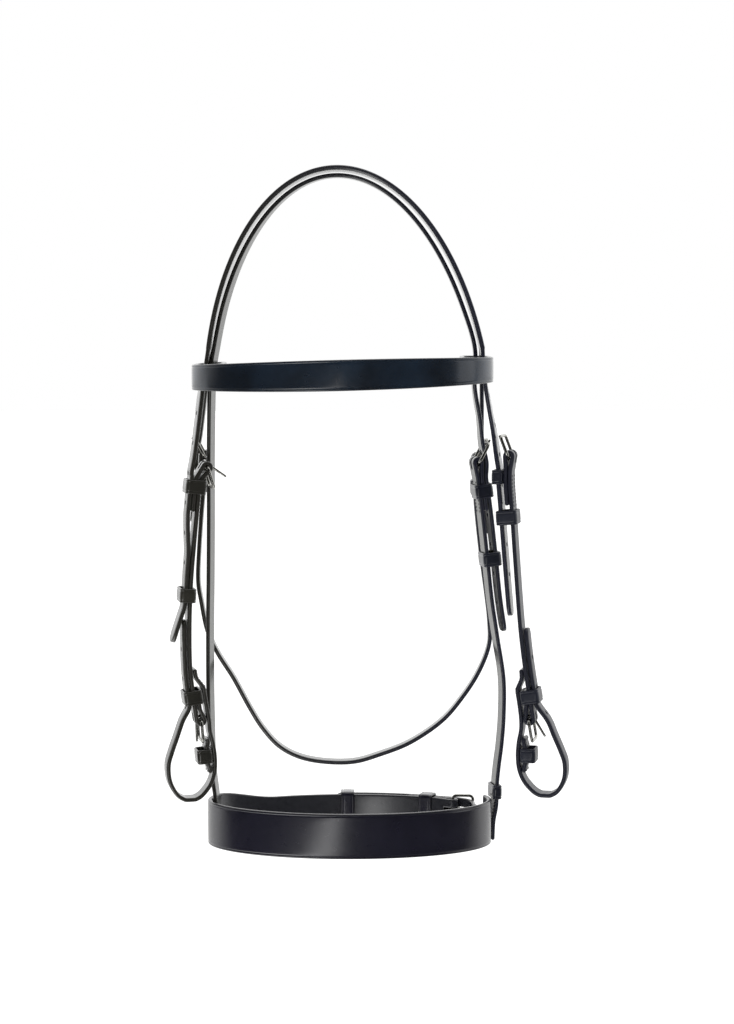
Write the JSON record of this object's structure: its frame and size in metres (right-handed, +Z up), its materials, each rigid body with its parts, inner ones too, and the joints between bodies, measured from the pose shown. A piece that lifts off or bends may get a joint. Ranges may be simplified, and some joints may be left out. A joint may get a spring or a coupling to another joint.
{
  "type": "exercise bridle",
  "caption": "Black leather exercise bridle with cheekpieces, browband, throatlatch, plain noseband and undone cheek and bit buckles, hung by its crown.",
  "frame": {"origin": "underside of the crown at the poll, in the middle of the strap", "axes": "+Z up, +X to the horse's near (left) side, +Y to the rear of the head"},
  "size_m": [0.3455, 0.1654, 0.5769],
  "materials": {
    "black_leather": "satin",
    "stainless_steel": "polished"
  },
  "bodies": {
    "bridle": {"bit_billet_near": "black_leather", "bit_billet_off": "black_leather", "bit_lining_near": "black_leather", "bit_lining_off": "black_leather", "bit_lower_keeper_near": "black_leather", "bit_lower_keeper_off": "black_leather", "bit_upper_keeper_near": "black_leather", "bit_upper_keeper_off": "black_leather", "cheek_keeper_near": "black_leather", "cheek_keeper_off": "black_leather", "cheekpiece_near": "black_leather", "cheekpiece_off": "black_leather", "chin_billet": "black_leather", "chin_buckle_frame": "stainless_steel", "chin_keeper": "black_leather", "hanger_buckle_frame": "stainless_steel", "hanger_keeper": "black_leather", "headpiece": "black_leather", "noseband": "black_leather", "noseband_box_keeper": "black_leather", "noseband_hanger": "black_leather", "noseband_headstrap": "black_leather", "throat_buckle_frame_near": "stainless_steel", "throat_buckle_frame_off": "stainless_steel", "throat_keeper_near": "black_leather", "throat_keeper_off": "black_leather", "throatlatch": "black_leather"},
    "bit_buckle_frame_off_body": {"bit_buckle_frame_off": "stainless_steel"},
    "bit_buckle_frame_near_body": {"bit_buckle_frame_near": "stainless_steel"},
    "cheek_buckle_frame_off_body": {"cheek_buckle_frame_off": "stainless_steel"},
    "cheek_buckle_frame_near_body": {"cheek_buckle_frame_near": "stainless_steel"},
    "cheek_buckle_tongue_off_body": {"cheek_buckle_tongue_off": "stainless_steel"},
    "cheek_buckle_tongue_near_body": {"cheek_buckle_tongue_near": "stainless_steel"},
    "hanger_buckle_tongue_body": {"hanger_buckle_tongue": "stainless_steel"},
    "chin_buckle_tongue_body": {"chin_buckle_tongue": "stainless_steel"},
    "throat_buckle_tongue_near_body": {"throat_buckle_tongue_near": "stainless_steel"},
    "throat_buckle_tongue_off_body": {"throat_buckle_tongue_off": "stainless_steel"},
    "bit_buckle_tongue_off_body": {"bit_buckle_tongue_off": "stainless_steel"},
    "bit_buckle_tongue_near_body": {"bit_buckle_tongue_near": "stainless_steel"},
    "cheek_runner_off_body": {"cheek_runner_off": "black_leather"},
    "cheek_runner_near_body": {"cheek_runner_near": "black_leather"},
    "hanger_runner_body": {"hanger_runner": "black_leather"},
    "chin_runner_body": {"chin_runner": "black_leather"},
    "browband_body": {"browband": "black_leather"}
  },
  "joints": [
    {"name": "bit_buckle_frame_off_hinge", "type": "hinge", "parent": "bridle", "child": "bit_buckle_frame_off_body", "pos_m": [-0.12049, -0.0116, -0.45775], "axis": [-0.225, 0.9744, 0], "range_deg": [-3, 18]},
    {"name": "bit_buckle_frame_near_hinge", "type": "hinge", "parent": "bridle", "child": "bit_buckle_frame_near_body", "pos_m": [0.16124, -0.01521, -0.45669], "axis": [-0.225, -0.9744, 0], "range_deg": [-8, 12]},
    {"name": "cheek_buckle_frame_off_hinge", "type": "hinge", "parent": "bridle", "child": "cheek_buckle_frame_off_body", "pos_m": [-0.114, -0.0101, -0.2425], "axis": [0.225, -0.9744, 0], "range_deg": [-12, 80]},
    {"name": "cheek_buckle_frame_near_hinge", "type": "hinge", "parent": "bridle", "child": "cheek_buckle_frame_near_body", "pos_m": [0.143, -0.011, -0.233], "axis": [-0.225, -0.9744, 0], "range_deg": [-90, 2]},
    {"name": "cheek_buckle_tongue_off_hinge", "type": "hinge", "parent": "cheek_buckle_frame_off_body", "child": "cheek_buckle_tongue_off_body", "pos_m": [-0.114, -0.0101, -0.2425], "axis": [0.225, -0.9744, 0], "range_deg": [-20, 15]},
    {"name": "cheek_buckle_tongue_near_hinge", "type": "hinge", "parent": "cheek_buckle_frame_near_body", "child": "cheek_buckle_tongue_near_body", "pos_m": [0.143, -0.011, -0.233], "axis": [-0.225, -0.9744, 0], "range_deg": [0, 2]},
    {"name": "hanger_buckle_tongue_hinge", "type": "hinge", "parent": "bridle", "child": "hanger_buckle_tongue_body", "pos_m": [0.1155, 0.013, -0.24], "axis": [-0.2079, 0.9781, 0], "range_deg": [0, 3]},
    {"name": "chin_buckle_tongue_hinge", "type": "hinge", "parent": "bridle", "child": "chin_buckle_tongue_body", "pos_m": [0.09732, 0.04846, -0.5485], "axis": [0, 0, 1], "range_deg": [0, 3]},
    {"name": "throat_buckle_tongue_near_hinge", "type": "hinge", "parent": "bridle", "child": "throat_buckle_tongue_near_body", "pos_m": [0.117, 0.038, -0.238], "axis": [0, 1, 0], "range_deg": [0, 3]},
    {"name": "throat_buckle_tongue_off_hinge", "type": "hinge", "parent": "bridle", "child": "throat_buckle_tongue_off_body", "pos_m": [-0.11765, 0.038, -0.236], "axis": [0, -1, 0], "range_deg": [0, 3]},
    {"name": "bit_buckle_tongue_off_hinge", "type": "hinge", "parent": "bit_buckle_frame_off_body", "child": "bit_buckle_tongue_off_body", "pos_m": [-0.12049, -0.0116, -0.45775], "axis": [-0.225, 0.9744, 0], "range_deg": [0, 15]},
    {"name": "bit_buckle_tongue_near_hinge", "type": "hinge", "parent": "bit_buckle_frame_near_body", "child": "bit_buckle_tongue_near_body", "pos_m": [0.16124, -0.01521, -0.45669], "axis": [-0.225, -0.9744, 0], "range_deg": [-15, 3]},
    {"name": "cheek_runner_off_slide", "type": "slide", "parent": "bridle", "child": "cheek_runner_off_body", "axis": [0.0476, 0.011, 0.9988], "range_m": [-0.005, 0.005]},
    {"name": "cheek_runner_near_slide", "type": "slide", "parent": "bridle", "child": "cheek_runner_near_body", "axis": [-0.0708, 0.0163, 0.9974], "range_m": [-0.004, 0.004]},
    {"name": "hanger_runner_slide", "type": "slide", "parent": "bridle", "child": "hanger_runner_body", "axis": [-0.107, -0.0227, 0.994], "range_m": [-0.006, 0.006]},
    {"name": "chin_runner_slide", "type": "slide", "parent": "bridle", "child": "chin_runner_body", "axis": [0.9999, 0.0167, 0], "range_m": [-0.006, 0.006]},
    {"name": "browband_slide", "type": "slide", "parent": "bridle", "child": "browband_body", "axis": [0, 0, 1], "range_m": [-0.004, 0.003]}
  ]
}
